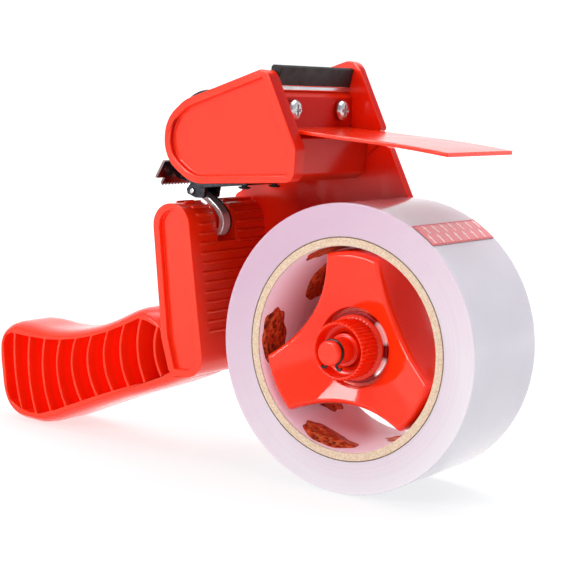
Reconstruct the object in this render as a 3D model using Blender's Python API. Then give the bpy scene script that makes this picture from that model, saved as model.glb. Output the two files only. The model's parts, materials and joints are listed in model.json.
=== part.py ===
"""Tape gun dispenser: a side-loading pistol-grip dispenser for 48 mm packing tape.

X runs along the tool from the handle (-X) to the tape roll (+X), Y runs along the roll's
axle (the open, loading side is -Y) and Z is up. The dispenser stands on the rim of the roll
and on the heel of its handle. Outlines below are (x, z) in millimetres, measured from the
roll's axle (x) and from the surface it stands on (z); y = 0 is the open face of the roll.
"""

import math

import bmesh
import bpy
import numpy as np

MM = 0.001
# Where the drawing's zero goes in the finished frame: the middle of the footprint.
ORIGIN = (60.109, -24.15, 0.0)

# ---------------------------------------------------------------- roll of tape
TAPE_WIDTH = 48.0
ROLL_RADIUS, ROLL_SEGMENTS, ROLL_SOFT_EDGE = 53.7, 112, 0.25
WINDING_BORE = 41.4
CORE_OUTER = 41.1
CORE_INNER, CORE_SEGMENTS = 38.1, 80
AXLE_Z = ROLL_RADIUS
TAB_ANGLES = (51.0, 62.5)
TAB_RADII = (53.85, 54.1)
TAB_Y, TAB_STEPS = (0.4, 46.5), 6

# ---------------------------------------------------------------- hub and its brake
LOBE_RADIUS = 37.7
LOBE_HALF_ANGLE = 20.0
LOBE_CENTRES = (90.0, 210.0, 330.0)
LOBE_STEPS, WAIST_STEPS = 8, 12
WAIST_RADIUS = 23.2
# The hub's front is a shallow cone, nearest the user at the tips of its lobes.
HUB_FRONT, HUB_BACK = 1.3, 49.0
HUB_FACE_RADIUS, HUB_FACE_SLOPE = 34.3, 0.28
# Rounding from the front face to the lobes' ends: (depth behind the face, inset of the outline).
HUB_ROUND = ((0.0, 3.4), (0.3, 2.6), (1.0, 2.0), (2.4, 1.6))
HUB_LIP_RADIUS, HUB_LIP_BACK = 40.4, 49.8
HUB_LIP_FRONT = 48.4
HUB_WALL = 2.4
HUB_ROOM_Y = 8.4
HUB_CENTRE_INSET = 2.0
RECESS_RADIUS, RECESS_Y = 15.0, 10.2
RECESS_WALL_RADIUS, RECESS_WALL_Y = 17.4, (7.4, 12.4)
SPRING_BORE, SPRING_SEAT_Y = 10.6, 20.5
HUB_BORE = 6.6
BOSS_RADIUS, BOSS_BACK = 13.0, 48.7
POST_RADIUS, POST_TIP_RADIUS, POST_GROOVE_RADIUS = 6.2, 4.6, 3.9
POST_TIP_Y, POST_STEP_Y, POST_BACK_Y = -10.7, 0.0, 54.6
POST_TIP_CHAMFER, POST_STEP_CHAMFER, POST_SEGMENTS = 0.6, 0.4, 40
GROOVE_GAP, CLIP_GAP = 0.15, 0.1
CLIP_Y, CLIP_WIRE = -7.6, 0.55
CLIP_ARC, CLIP_STEPS, CLIP_SIDES = (-62.0, 242.0), 36, 8
# Curled end of the clip's wire, outward and down from where the wire leaves the post.
CLIP_HOOK = ((2.1, -1.3), (1.6, -2.1), (0.5, -1.9), (-0.1, -0.8))
KNOB_RADIUS, KNOB_BORE, KNOB_CUP = 11.0, 6.5, 9.5
KNOB_FRONT, KNOB_BACK, KNOB_FLOOR = -4.2, 8.2, 1.4
KNURLS, KNURL_DEPTH = 44, 0.45
FLANGE_RADIUS, FLANGE_FRONT = 12.3, 6.6
WASHER_OUTER, WASHER_INNER = 13.4, 6.6
WASHER_Y = (8.5, 9.7)
SPRING_MEAN, SPRING_WIRE, SPRING_TURNS = 8.6, 0.7, 4.5
SPRING_Y, SPRING_STEPS_PER_TURN, SPRING_SIDES = (10.8, 19.4), 20, 6
BRAKE_OUTER, BRAKE_INNER = 13.0, 6.6
BRAKE_Y = (49.0, 50.7)

# ---------------------------------------------------------------- frame moulding
PLATE_Y = (51.0, 55.0)
# Side plate: rounded corners are (x, z, radius), clockwise from the top of the head.
PLATE = (
    (-34.0, 159.5, 6.0), (-19.7, 132.2, 1.5), (-23.5, 130.5, 1.5), (-20.6, 127.0, 1.5),
    (-15.9, 125.4, 1.5), (5.5, 85.0, 14.0), (27.0, 66.0, 14.0), (22.0, 30.0, 18.0),
    (-20.0, 24.0, 16.0), (-66.0, 31.0, 6.0), (-78.0, 30.0, 4.0), (-84.0, 43.0, 4.0),
    (-91.3, 92.0, 6.0), (-89.0, 101.0, 3.0), (-85.0, 103.0, 4.0), (-85.5, 128.0, 12.0),
    (-78.0, 143.5, 10.0),
)
POST_HOLE = 6.5
AXLE_HOLE, AXLE_SEGMENTS = 3.3, 32

# Column (the box-like part under the head), clockwise from its top left.
COLUMN_FRONT_Y = 0.0
COLUMN_RIGHT_TOP, COLUMN_RIGHT_LOW = (-73.3, 90.5), (-64.8, 42.0)
COLUMN = (
    (-92.8, 99.6, 8.6), (-75.0, 99.6, 8.6), (-63.0, 32.6, 8.0), (-80.0, 31.5, 4.0),
    (-84.8, 46.0, 6.0),
)
PANEL_INSET, PANEL_DEPTH = 3.0, 2.0
CAVITY = ((-87.0, 78.0, 3.0), (-75.0, 78.0, 3.0), (-68.5, 40.0, 3.0), (-80.0, 38.0, 3.0))
CAVITY_FRONT_Y = 5.0
SLOT_Y = (17.8, 30.2)
SLOT_FLOOR = 84.3
SLOT = (
    (-89.0, 106.0), (-88.2, 97.0), (-86.0, 90.0), (-82.5, 86.2), (-77.0, 84.8), (-60.0, SLOT_FLOOR),
    (-58.0, 106.0),
)
GRIP_LINES = 12
GRIP_LINE_TOP, GRIP_LINE_STEP = 91.9, 3.77
# The lines that carry on over the column's rounded top: its centre, radius and their angles.
TOP_CENTRE, TOP_RADIUS = (-82.2, 91.0), 8.6
TOP_LINE_ANGLES = (31.1, 56.3, 81.4, 107.0)
GRIP_LINE_HEIGHT, GRIP_LINE_PROUD = 0.9, 0.6
GRIP_LINE_BITE = 1.2
GRIP_LINE_START, GRIP_LINE_END = 6.1, 50.0
GRIP_LINE_SIDE = 1.2

# Handle: crown outline, clockwise from the top of its butt end.
HANDLE = (
    (-173.6, 33.0), (-171.2, 37.8), (-166.5, 40.9), (-160.0, 41.3), (-150.0, 40.7),
    (-140.0, 41.3), (-130.0, 43.1), (-120.0, 46.0), (-111.5, 49.5), (-103.5, 53.6),
    (-98.5, 55.8), (-94.0, 56.2), (-88.5, 54.6), (-82.0, 50.0), (-77.0, 42.0),
    (-70.5, 33.4), (-80.0, 27.6), (-93.5, 22.0), (-106.0, 17.2), (-123.0, 10.0),
    (-139.0, 2.9), (-147.0, 0.3), (-154.0, 0.1), (-161.0, 0.7), (-167.0, 4.2), (-170.8, 10.5),
    (-172.6, 19.0), (-173.8, 27.0),
)
HANDLE_DEPTH = 30.0
# Rounding of the handle's edges: (depth from the face, inset of the outline).
HANDLE_ROUND = ((0.0, 2.5), (1.2, 1.5), (3.2, 0.6), (7.5, 0.0))
HANDLE_FLOOR_Y = 26.5
# The open side of the handle: top and bottom edges of its pockets, and its end walls.
MOUTH_TOP = (
    (-170.4, 31.0), (-169.2, 35.0), (-166.0, 36.8), (-156.5, 36.5), (-146.0, 36.7), (-138.0, 37.6),
    (-129.0, 39.4), (-121.0, 41.6), (-112.8, 44.6), (-104.5, 48.4), (-97.0, 52.2), (-92.0, 51.6),
    (-88.0, 50.2), (-85.8, 49.6),
)
MOUTH_BOTTOM = (
    (-167.3, 12.0), (-165.5, 8.0), (-160.0, 5.2), (-154.0, 4.3), (-148.0, 4.8), (-141.0, 7.2),
    (-133.0, 10.7), (-124.5, 14.4), (-116.5, 17.8), (-108.0, 21.2), (-100.0, 24.2),
    (-92.0, 27.2), (-85.0, 30.3), (-79.5, 33.2),
)
MOUTH_RIGHT = ((-85.8, 49.6), (-85.0, 46.0), (-83.6, 42.0), (-81.8, 37.5), (-79.5, 33.2))
RIBS = 10
RIB_TOP_X, RIB_TOP_STEP = -163.9, 8.52
RIB_LOW_X, RIB_LOW_STEP = -158.6, 8.27
RIB_THICK = 1.1
RIB_BOW = (1.6, 2.1, 2.6, 3.1, 3.4, 3.4, 3.2, 3.0, 2.7, 2.4)
RIB_STEPS = 8

# ---------------------------------------------------------------- head
CHEEK_Y = (-6.5, 0.0)
CHEEK = (
    (-73.5, 140.3, 14.0), (-36.5, 154.3, 4.0), (-21.5, 125.5, 5.0), (-21.8, 113.0, 4.5),
    (-68.5, 108.7, 15.0), (-82.6, 117.5, 14.0), (-82.4, 132.5, 14.0),
)
CHEEK_INSET, CHEEK_RECESS = 3.0, 2.0
INNER_Y = (-1.0, 50.7)
WALL = 2.6
# Cross wall of the head: middle line from the lip behind the roller to the clamp wall.
CROSS_WALL = (
    (-63.5, 110.6), (-31.0, 113.7), (-27.6, 116.2), (-27.0, 127.6), (-39.2, 129.3), (-39.2, 145.4),
)

ROLLER_AXIS = (-68.0, 129.1)
ROLLER_RADIUS, ROLLER_SLEEVE_BORE = 15.4, 12.4
ROLLER_Y, ROLLER_SOFT_EDGE, ROLLER_SEGMENTS = (1.6, 49.2), 0.8, 48
SPOOL_RADIUS, SPOOL_BORE = 12.1, 3.4
SPOOL_Y = (1.2, 49.6)
AXLE_RADIUS, AXLE_Y = 3.0, (-2.6, 55.4)
AXLE_SOCKET = (3.3, -3.0)
AXLE_HEAD_RADIUS, AXLE_HEAD_Y, AXLE_HEAD_SOFT = 5.6, 57.4, (0.8, 0.6)
AXLE_TIP_CHAMFER = 0.5
SCREW_BOSS_RADIUS, SCREW_BOSS_LIFT = 3.6, 2.2

GUIDE_BAR = (
    (-39.6, 147.8), (-35.7, 147.8), (-34.2, 154.5), (-34.9, 155.3), (-38.2, 155.3), (-38.9, 154.5),
)
GUIDE_BAR_Y = (0.3, 50.7)
GUIDE_STRIP = ((-40.4, 146.3), (-35.2, 146.3), (-35.2, 147.5), (-40.4, 147.5))
GUIDE_STRIP_Y = (0.5, 50.5)

FLAP_Y = (0.4, 50.6)
FLAP_THICK = 1.5
# Upper face of the flap from the clamp wall to its free end.
FLAP_TOP = (
    (-33.6, 132.2), (-22.6, 131.9), (-11.0, 131.3), (0.0, 130.9), (12.0, 130.4), (22.0, 129.7),
    (30.0, 129.0), (37.2, 128.3),
)
FLAP_FLANGE = ((-37.4, 130.8), (-37.4, 146.0), (-36.4, 146.0), (-34.2, 143.6), (-33.6, 132.2))
FLAP_SCREW_Y = (8.2, 41.2)
FLAP_SCREW_Z = 138.8
SCREW_HEAD_RADIUS, SCREW_HEAD_HEIGHT = 3.9, 2.3
SCREW_SHANK_RADIUS, FLAP_SCREW_LENGTH = 1.6, 6.4
# Cross recess of a screw head, as shares of the head's radius and height.
CROSS_ARM, CROSS_HALF_WIDTH, CROSS_DEPTH = 0.55, 0.13, 0.5
SCREW_POINT = 1.2
SCREW_HOLE = 2.0
SCREW_SEAT_X = -33.7
FLAP_HEEL_X = -34.6
FLAP_BORE_X = (-45.0, -30.0)

# ---------------------------------------------------------------- blade and catch lever
BLADE_TOP, BLADE_TIP = (-87.5, 115.8), (-93.0, 105.7)
BLADE_THICK = 1.0
BLADE_EAR_Y = (0.3, 50.7)
BLADE_TOOTH_Y = (5.5, 45.5)
BLADE_EAR_LOW = 0.67
BLADE_TOOTH_PITCH, BLADE_TOOTH_DEPTH = 2.0, 1.3
RIVET_RADIUS, RIVET_HEAD, RIVET_HEAD_HEIGHT = 1.1, 1.9, 0.7
RIVET_BORE = 1.4
RIVET_REACH, RIVET_Y = 3.2, (18.5, 36.0)

BRACKET_Y = (13.5, 41.0)
BRACKET_THICK = 1.2
# Middle line of the bracket's plate, from the cross wall forward to its flange behind the blade.
BRACKET_PLATE = ((-57.0, 108.98), (-62.5, 108.45), (-80.0, 105.85), (-84.0, 107.9))
FLANGE_REACH = 7.2
BRACKET_LUG = (
    (-80.5, 105.5), (-80.5, 106.6), (-86.0, 106.9), (-88.2, 104.2), (-87.6, 102.4), (-83.5, 101.1),
    (-79.4, 101.3), (-78.8, 105.6),
)
LUG_Y = ((16.2, 17.6), (25.4, 26.8))
LEVER_AXIS = (-85.0, 103.7)
LEVER_PIN_RADIUS, LEVER_PIN_Y = 1.0, (15.6, 27.4)
LEVER_Y = (18.4, 24.2)
LEVER_EYE, LUG_HOLE = 2.3, 1.15
LEVER_THICK = 2.4
LEVER_PATH = (
    (-83.4, 103.0), (-79.6, 100.9), (-75.6, 98.2), (-72.9, 95.6), (-71.9, 93.2), (-71.9, 90.6),
    (-73.2, 88.3), (-75.6, 87.4), (-77.8, 88.4),
)
BRACKET_SCREW_X, BRACKET_SCREW_Y, BRACKET_SCREW_Z = -60.3, (17.0, 37.5), 107.45
BRACKET_SCREW_HEAD, BRACKET_SCREW_HEIGHT, BRACKET_SCREW_LENGTH = 2.4, 0.9, 4.6
BRACKET_SCREW_SHANK, BRACKET_SCREW_HOLE = 1.2, 1.5

# ---------------------------------------------------------------- far side fasteners
POST_WASHER_Y, POST_WASHER_RADIUS = (55.3, 56.3), 8.0
POST_SCREW_Y, POST_SCREW_RADIUS = (56.6, 59.0), 5.2
POST_SCREW_SHANK, POST_SCREW_HOLE = 2.0, 2.3
POST_SCREW_TIP = 40.0
HEAD_SCREW_AT = ((-32.5, 115.0), (-50.0, 113.4))
HEAD_SCREW_TIP, HEAD_SCREW_RADIUS, HEAD_SCREW_HEIGHT = 42.0, 3.6, 2.0

ROUND_SEGMENTS = 64
CORNER_SEGMENTS = 7
CHEEK_SEGMENTS = 10
SMALL_SEGMENTS = 20
FINE_SEGMENTS = 16
SCREW_SEGMENTS = 28
# How far a cutting body runs past the face it opens.
PAST = 2.0
# Gap left between pieces that touch.
GAP = 0.3
SHARP_ANGLE = 35.0

# Colours (linear RGB), roughness and metallic value of each material.
MATERIALS = {
    "red_plastic": ((0.78, 0.035, 0.02), 0.28, 0.0),
    "black_rubber": ((0.012, 0.012, 0.013), 0.62, 0.0),
    "black_plastic": ((0.02, 0.02, 0.022), 0.4, 0.0),
    "steel": ((0.55, 0.56, 0.58), 0.25, 1.0),
    "dark_steel": ((0.16, 0.16, 0.18), 0.35, 1.0),
    "chrome": ((0.8, 0.8, 0.82), 0.1, 1.0),
    "cardboard": ((0.62, 0.5, 0.34), 0.85, 0.0),
    "clear_tape": ((0.78, 0.74, 0.84), 0.22, 0.0),
    "tab_film": ((0.85, 0.12, 0.12), 0.3, 0.0),
}


# ================================================================ helpers
def clear_scene():
    for item in list(bpy.data.objects):
        bpy.data.objects.remove(item, do_unlink=True)


def material(name):
    if name in bpy.data.materials:
        return bpy.data.materials[name]
    colour, roughness, metallic = MATERIALS[name]
    made = bpy.data.materials.new(name)
    made.use_nodes = True
    shader = made.node_tree.nodes["Principled BSDF"]
    shader.inputs["Base Color"].default_value = (*colour, 1.0)
    shader.inputs["Roughness"].default_value = roughness
    shader.inputs["Metallic"].default_value = metallic
    made.diffuse_color = (*colour, 1.0)
    return made


def mesh_object(name, points, faces):
    """One object from points in drawing millimetres; faces are turned to point outward."""
    mesh = bpy.data.meshes.new(name)
    mesh.from_pydata([tuple(c * MM for c in p) for p in points], [], faces)
    work = bmesh.new()
    work.from_mesh(mesh)
    bmesh.ops.recalc_face_normals(work, faces=work.faces)
    work.to_mesh(mesh)
    work.free()
    item = bpy.data.objects.new(name, mesh)
    bpy.context.scene.collection.objects.link(item)
    return item


def stack(name, rings):
    """A closed body from rings of equal length, each a list of (x, y, z); ends are capped."""
    count = len(rings[0])
    points = [p for ring in rings for p in ring]
    faces = [tuple(reversed(range(count)))]
    for level in range(len(rings) - 1):
        low, high = level * count, (level + 1) * count
        for i in range(count):
            j = (i + 1) % count
            faces.append((low + i, low + j, high + j, high + i))
    last = (len(rings) - 1) * count
    faces.append(tuple(range(last, last + count)))
    return mesh_object(name, points, faces)


def prism(name, outline, y_low, y_high):
    return stack(name, [[(x, y, z) for x, z in outline] for y in (y_low, y_high)])


def block(name, x_range, y_range, z_range):
    (x0, x1), (z0, z1) = x_range, z_range
    return prism(name, [(x0, z0), (x1, z0), (x1, z1), (x0, z1)], *y_range)


def rounded(corners, segments=CORNER_SEGMENTS):
    """Outline with arcs at corners given as (x, z, radius)."""
    outline = []
    count = len(corners)
    for i, (x, z, radius) in enumerate(corners):
        here = np.array((x, z))
        before = np.array(corners[i - 1][:2]) - here
        after = np.array(corners[(i + 1) % count][:2]) - here
        before /= np.linalg.norm(before)
        after /= np.linalg.norm(after)
        half = math.acos(float(np.clip(before @ after, -1.0, 1.0))) / 2.0
        reach = radius / math.tan(half)
        start, end = here + before * reach, here + after * reach
        centre = here + (before + after) / np.linalg.norm(before + after) * radius / math.sin(half)
        a0 = math.atan2(*(start - centre)[::-1])
        a1 = math.atan2(*(end - centre)[::-1])
        turn = (a1 - a0 + math.pi) % (2 * math.pi) - math.pi
        for k in range(segments + 1):
            angle = a0 + turn * k / segments
            outline.append((centre[0] + radius * math.cos(angle), centre[1] + radius * math.sin(angle)))
    return outline


def curve_point(p0, p1, p2, p3, t):
    """Point at t between p1 and p2 on the smooth curve through four points."""
    linear = 2 * p1 + (p2 - p0) * t
    square = (2 * p0 - 5 * p1 + 4 * p2 - p3) * t * t
    cube = (3 * p1 - p0 - 3 * p2 + p3) * t**3
    return tuple(0.5 * (linear + square + cube))


def smooth_loop(points, per_span=3):
    """Closed curve through the points."""
    pts = [np.array(p, float) for p in points]
    count = len(pts)
    curve = []
    for i in range(count):
        around = [pts[(i + k) % count] for k in (-1, 0, 1, 2)]
        curve += [curve_point(*around, k / per_span) for k in range(per_span)]
    return curve


def smooth_open(path, per_span=4):
    """Curve through an open path of points."""
    pts = [np.array(p, float) for p in path]
    pts = [2 * pts[0] - pts[1], *pts, 2 * pts[-1] - pts[-2]]
    curve = []
    for i in range(1, len(pts) - 2):
        curve += [curve_point(*pts[i - 1 : i + 3], k / per_span) for k in range(per_span)]
    curve.append(tuple(pts[-2]))
    return curve


def inset(outline, distance):
    """Outline moved inward by a distance, point by point."""
    pts = np.array(outline, float)
    ahead, behind = np.roll(pts, -1, axis=0), np.roll(pts, 1, axis=0)
    area = float(np.sum(pts[:, 0] * ahead[:, 1] - ahead[:, 0] * pts[:, 1]))
    side = 1.0 if area > 0 else -1.0
    result = []
    for here, prev, following in zip(pts, behind, ahead):
        first = (here - prev) / max(np.linalg.norm(here - prev), 1e-9)
        second = (following - here) / max(np.linalg.norm(following - here), 1e-9)
        normal = np.array((-(first + second)[1], (first + second)[0]))
        normal /= max(np.linalg.norm(normal), 1e-9)
        stretch = max(float(normal @ np.array((-first[1], first[0]))), 0.5)
        result.append(tuple(here + side * normal * distance / stretch))
    return result


def thick_line(path, thickness):
    """Outline of a strip of even thickness whose middle line is the path."""
    pts = np.array(path, float)
    left, right = [], []
    for i, here in enumerate(pts):
        first = here - pts[i - 1] if i else pts[1] - here
        second = pts[i + 1] - here if i + 1 < len(pts) else first
        first, second = first / np.linalg.norm(first), second / np.linalg.norm(second)
        normal = np.array((-(first + second)[1], (first + second)[0]))
        normal /= np.linalg.norm(normal)
        stretch = max(float(normal @ np.array((-first[1], first[0]))), 0.4)
        left.append(tuple(here + normal * thickness / 2 / stretch))
        right.append(tuple(here - normal * thickness / 2 / stretch))
    return left + right[::-1]


def circle(radius, centre=(0.0, 0.0), segments=ROUND_SEGMENTS):
    turns = [2 * math.pi * k / segments for k in range(segments)]
    return [(centre[0] + radius * math.cos(t), centre[1] + radius * math.sin(t)) for t in turns]


def lathe(name, profile, axis=(0.0, 0.0), segments=ROUND_SEGMENTS):
    """Ring-shaped body turned about a line along Y; the closed profile is a list of (radius, y)."""
    count = len(profile)
    circles = [circle(r, axis, segments) for r, _ in profile]
    points = []
    faces = []
    for k in range(segments):
        points += [(circles[i][k][0], profile[i][1], circles[i][k][1]) for i in range(count)]
        a, b = k * count, ((k + 1) % segments) * count
        for i in range(count):
            j = (i + 1) % count
            faces.append((a + i, a + j, b + j, b + i))
    return mesh_object(name, points, faces)


def ring(name, inner, outer, y_range, axis=(0.0, 0.0), segments=ROUND_SEGMENTS):
    """Flat washer or tube about a line along Y."""
    low, high = y_range
    return lathe(name, ((inner, low), (outer, low), (outer, high), (inner, high)), axis, segments)


def disc(name, radius, y_low, y_high, axis=(0.0, 0.0), segments=ROUND_SEGMENTS):
    return prism(name, circle(radius, axis, segments), y_low, y_high)


def turned(name, profile, axis, segments=ROUND_SEGMENTS):
    """Solid turned body about a line along Y; profile runs from one end's centre to the other's."""
    return stack(name, [[(x, y, z) for x, z in circle(r, axis, segments)] for r, y in profile])


def swept(name, path, radius, sides):
    """Round wire along an open path of 3-D points that never runs straight along Y."""
    pts = [np.array(p, float) for p in path]
    rings = []
    for i, here in enumerate(pts):
        ahead = pts[min(i + 1, len(pts) - 1)] - pts[max(i - 1, 0)]
        ahead /= np.linalg.norm(ahead)
        side = np.cross(ahead, (0.0, 1.0, 0.0))
        side /= np.linalg.norm(side)
        other = np.cross(side, ahead)
        rings.append([tuple(here + side * u + other * v) for u, v in circle(radius, segments=sides)])
    return stack(name, rings)


def combine(target, operation, *tools):
    """Join or cut the target with each tool in turn; the tools are used up."""
    for tool in tools:
        step = target.modifiers.new(operation.lower(), "BOOLEAN")
        step.operation = operation
        step.solver = "EXACT"
        step.object = tool
        graph = bpy.context.evaluated_depsgraph_get()
        result = bpy.data.meshes.new_from_object(target.evaluated_get(graph))
        target.modifiers.remove(step)
        target.data = result
        bpy.data.objects.remove(tool, do_unlink=True)
    return target


def finish(item, name, look, pivot=(0.0, 0.0, 0.0)):
    """Name, colour and shade the piece, and put its origin on its pivot."""
    item.name = name
    item.data.name = name
    item.data.materials.clear()
    item.data.materials.append(material(look))
    shift = [c * MM for c in pivot]
    work = bmesh.new()
    work.from_mesh(item.data)
    bmesh.ops.dissolve_degenerate(work, dist=1e-7, edges=work.edges)
    bmesh.ops.translate(work, verts=work.verts, vec=[-c for c in shift])
    bmesh.ops.recalc_face_normals(work, faces=work.faces)
    work.to_mesh(item.data)
    work.free()
    item.data.shade_smooth()
    item.data.set_sharp_from_angle(angle=math.radians(SHARP_ANGLE))
    item.location = [s + o * MM for s, o in zip(shift, ORIGIN)]
    return item


# ================================================================ frame moulding
def handle_body():
    crown = smooth_loop(HANDLE)
    rings = []
    for depth, distance in HANDLE_ROUND:
        rings.append([(x, depth, z) for x, z in inset(crown, distance)])
    for depth, distance in reversed(HANDLE_ROUND):
        rings.append([(x, HANDLE_DEPTH - depth, z) for x, z in inset(crown, distance)])
    return stack("handle_body", rings)


def mouth_height(edge, x):
    xs, zs = zip(*edge)
    return float(np.interp(x, xs, zs))


def rib_side(index, offset):
    """One side of a rib, from the top of the mouth to the bottom, bowed toward the butt."""
    top_x = RIB_TOP_X + RIB_TOP_STEP * index + offset
    low_x = RIB_LOW_X + RIB_LOW_STEP * index + offset
    top = np.array((top_x, mouth_height(MOUTH_TOP, top_x)))
    low = np.array((low_x, mouth_height(MOUTH_BOTTOM, low_x)))
    side = []
    for k in range(RIB_STEPS + 1):
        t = k / RIB_STEPS
        x, z = top + (low - top) * t
        side.append((x - 4 * RIB_BOW[index] * t * (1 - t), z))
    return side


def mouth_between(edge, x_low, x_high):
    return [(x, z) for x, z in edge if x_low + GAP < x < x_high - GAP]


def pocket_cutters():
    cutters = []
    for index in range(RIBS + 1):
        if index == 0:
            left = [MOUTH_TOP[0], MOUTH_BOTTOM[0]]
        else:
            left = rib_side(index - 1, RIB_THICK / 2)
        if index == RIBS:
            right = list(MOUTH_RIGHT)
        else:
            right = rib_side(index, -RIB_THICK / 2)
        low = mouth_between(MOUTH_BOTTOM, left[-1][0], right[-1][0])
        top = mouth_between(MOUTH_TOP, left[0][0], right[0][0])
        outline = left + low + right[::-1] + top[::-1]
        cutters.append(prism("pocket", outline, -PAST, HANDLE_FLOOR_Y))
    return cutters


def front_x(z):
    """The column's front face."""
    (x0, z0), (x1, z1) = COLUMN_RIGHT_TOP, COLUMN_RIGHT_LOW
    return x0 + (x1 - x0) * (z - z0) / (z1 - z0)


def grip_line(base, outward):
    """One raised line across the column at a point of its outline, broken by the lever's slot."""
    base, outward = np.array(base), np.array(outward)
    along = np.array((-outward[1], outward[0])) * GRIP_LINE_HEIGHT / 2
    root, crest = base - outward * GRIP_LINE_BITE, base + outward * GRIP_LINE_PROUD
    outline = [tuple(root - along), tuple(crest - along), tuple(crest + along), tuple(root + along)]
    spans = [(GRIP_LINE_START, GRIP_LINE_END)]
    if base[1] > SLOT_FLOOR:
        spans = [
            (GRIP_LINE_START, SLOT_Y[0] - GRIP_LINE_SIDE),
            (SLOT_Y[1] + GRIP_LINE_SIDE, GRIP_LINE_END),
        ]
    return [prism("grip_line", outline, *span) for span in spans]


def grip_lines():
    (x0, z0), (x1, z1) = COLUMN_RIGHT_TOP, COLUMN_RIGHT_LOW
    face = np.array((x1 - x0, z1 - z0)) / math.hypot(x1 - x0, z1 - z0)
    lines = []
    for k in range(GRIP_LINES):
        z = GRIP_LINE_TOP - GRIP_LINE_STEP * k
        lines += grip_line((front_x(z), z), (-face[1], face[0]))
    for degrees in TOP_LINE_ANGLES:
        angle = math.radians(min(degrees, 90.0))
        past_top = max(0.0, math.radians(degrees - 90.0)) * TOP_RADIUS
        base = (
            TOP_CENTRE[0] + TOP_RADIUS * math.cos(angle) - past_top,
            TOP_CENTRE[1] + TOP_RADIUS * math.sin(angle),
        )
        lines += grip_line(base, (math.cos(angle), math.sin(angle)))
    return lines


def panel_cutter(name, outline, distance, face_y, depth):
    """Body that sinks a panel of the given depth into the face at face_y."""
    return prism(name, inset(outline, distance), face_y - PAST, face_y + depth)


def build_frame():
    plate = prism("plate", rounded(PLATE), *PLATE_Y)
    outline = rounded(COLUMN)
    column = prism("column", outline, COLUMN_FRONT_Y, PLATE_Y[0] + 1.0)
    combine(column, "DIFFERENCE", panel_cutter("panel", outline, PANEL_INSET, COLUMN_FRONT_Y, PANEL_DEPTH))
    combine(column, "UNION", *grip_lines())
    combine(column, "DIFFERENCE", prism("slot", SLOT, *SLOT_Y))
    frame = combine(plate, "UNION", column)
    handle = handle_body()
    combine(handle, "DIFFERENCE", *pocket_cutters())
    combine(handle, "DIFFERENCE", panel_cutter("panel", outline, PANEL_INSET, COLUMN_FRONT_Y, PANEL_DEPTH))
    combine(frame, "UNION", handle)
    through = (PLATE_Y[0] - PAST, PLATE_Y[1] + PAST)
    combine(
        frame,
        "DIFFERENCE",
        prism("cavity", rounded(CAVITY), CAVITY_FRONT_Y, through[1]),
        disc("post_hole", POST_HOLE, *through, (0.0, AXLE_Z)),
        disc("axle_hole", AXLE_HOLE, *through, ROLLER_AXIS, AXLE_SEGMENTS),
        *(disc("screw_hole", SCREW_HOLE, *through, axis, SMALL_SEGMENTS) for axis in HEAD_SCREW_AT),
    )
    finish(frame, "frame", "red_plastic")


# ================================================================ head
def build_head_shell():
    outline = rounded(CHEEK, CHEEK_SEGMENTS)
    shell = prism("cheek", outline, *CHEEK_Y)
    combine(shell, "DIFFERENCE", panel_cutter("panel", outline, CHEEK_INSET, CHEEK_Y[0], CHEEK_RECESS))
    combine(shell, "UNION", prism("cross_wall", thick_line(CROSS_WALL, WALL), *INNER_Y))
    for x, z in HEAD_SCREW_AT:
        boss_at = (x, z + SCREW_BOSS_LIFT)
        combine(shell, "UNION", disc("boss", SCREW_BOSS_RADIUS, *INNER_Y, boss_at, SMALL_SEGMENTS))
        bore = disc("bore", SCREW_HOLE, HEAD_SCREW_TIP - 1.0, INNER_Y[1] + PAST, (x, z), SMALL_SEGMENTS)
        combine(shell, "DIFFERENCE", bore)
    combine(shell, "DIFFERENCE", *(flap_screw_bore(y) for y in FLAP_SCREW_Y))
    combine(shell, "DIFFERENCE", *(bracket_screw_bore(y) for y in BRACKET_SCREW_Y))
    socket = disc("socket", AXLE_SOCKET[0], AXLE_SOCKET[1], CHEEK_Y[1] + PAST, ROLLER_AXIS, AXLE_SEGMENTS)
    combine(shell, "DIFFERENCE", socket)
    finish(shell, "head_shell", "red_plastic")


def phillips_screw(head_radius, head_height, shank_radius, shank_length, segments=SCREW_SEGMENTS):
    """Pan head screw along -X with its head facing +X and a cross recess, drawn at zero."""
    profile = (
        (shank_radius * 0.3, -shank_length), (shank_radius, -shank_length + SCREW_POINT),
        (shank_radius, 0.0), (head_radius, 0.0), (head_radius, head_height * 0.45),
        (head_radius * 0.84, head_height * 0.82), (head_radius * 0.5, head_height),
    )
    screw = stack("screw", [[(x, u, v) for u, v in circle(r, segments=segments)] for r, x in profile])
    arm, half = head_radius * CROSS_ARM, head_radius * CROSS_HALF_WIDTH
    depth = (head_height * CROSS_DEPTH, head_height + 1.0)
    for wide, high in ((arm, half), (half, arm)):
        combine(screw, "DIFFERENCE", block("cross", depth, (-wide, wide), (-high, high)))
    return screw


def flap_screw_bore(y):
    """Bore for a flap screw, through the clamp wall and the flap's flange."""
    outline = circle(SCREW_HOLE, (y, FLAP_SCREW_Z), SMALL_SEGMENTS)
    return stack("bore", [[(x, u, v) for u, v in outline] for x in FLAP_BORE_X])


def bracket_screw_bore(y):
    """Upright bore for a bracket screw."""
    outline = circle(BRACKET_SCREW_HOLE, (BRACKET_SCREW_X, y), FINE_SEGMENTS)
    ends = (BRACKET_SCREW_Z, BRACKET_SCREW_Z + BRACKET_SCREW_LENGTH + PAST + 1.0)
    return stack("bore", [[(u, v, z) for u, v in outline] for z in ends])


def turn_mesh(item, place):
    """Move every point of a mesh by a rule that takes and gives drawing millimetres."""
    for vert in item.data.vertices:
        vert.co = [c * MM for c in place(*(c / MM for c in vert.co))]
    item.data.update()
    return item


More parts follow.
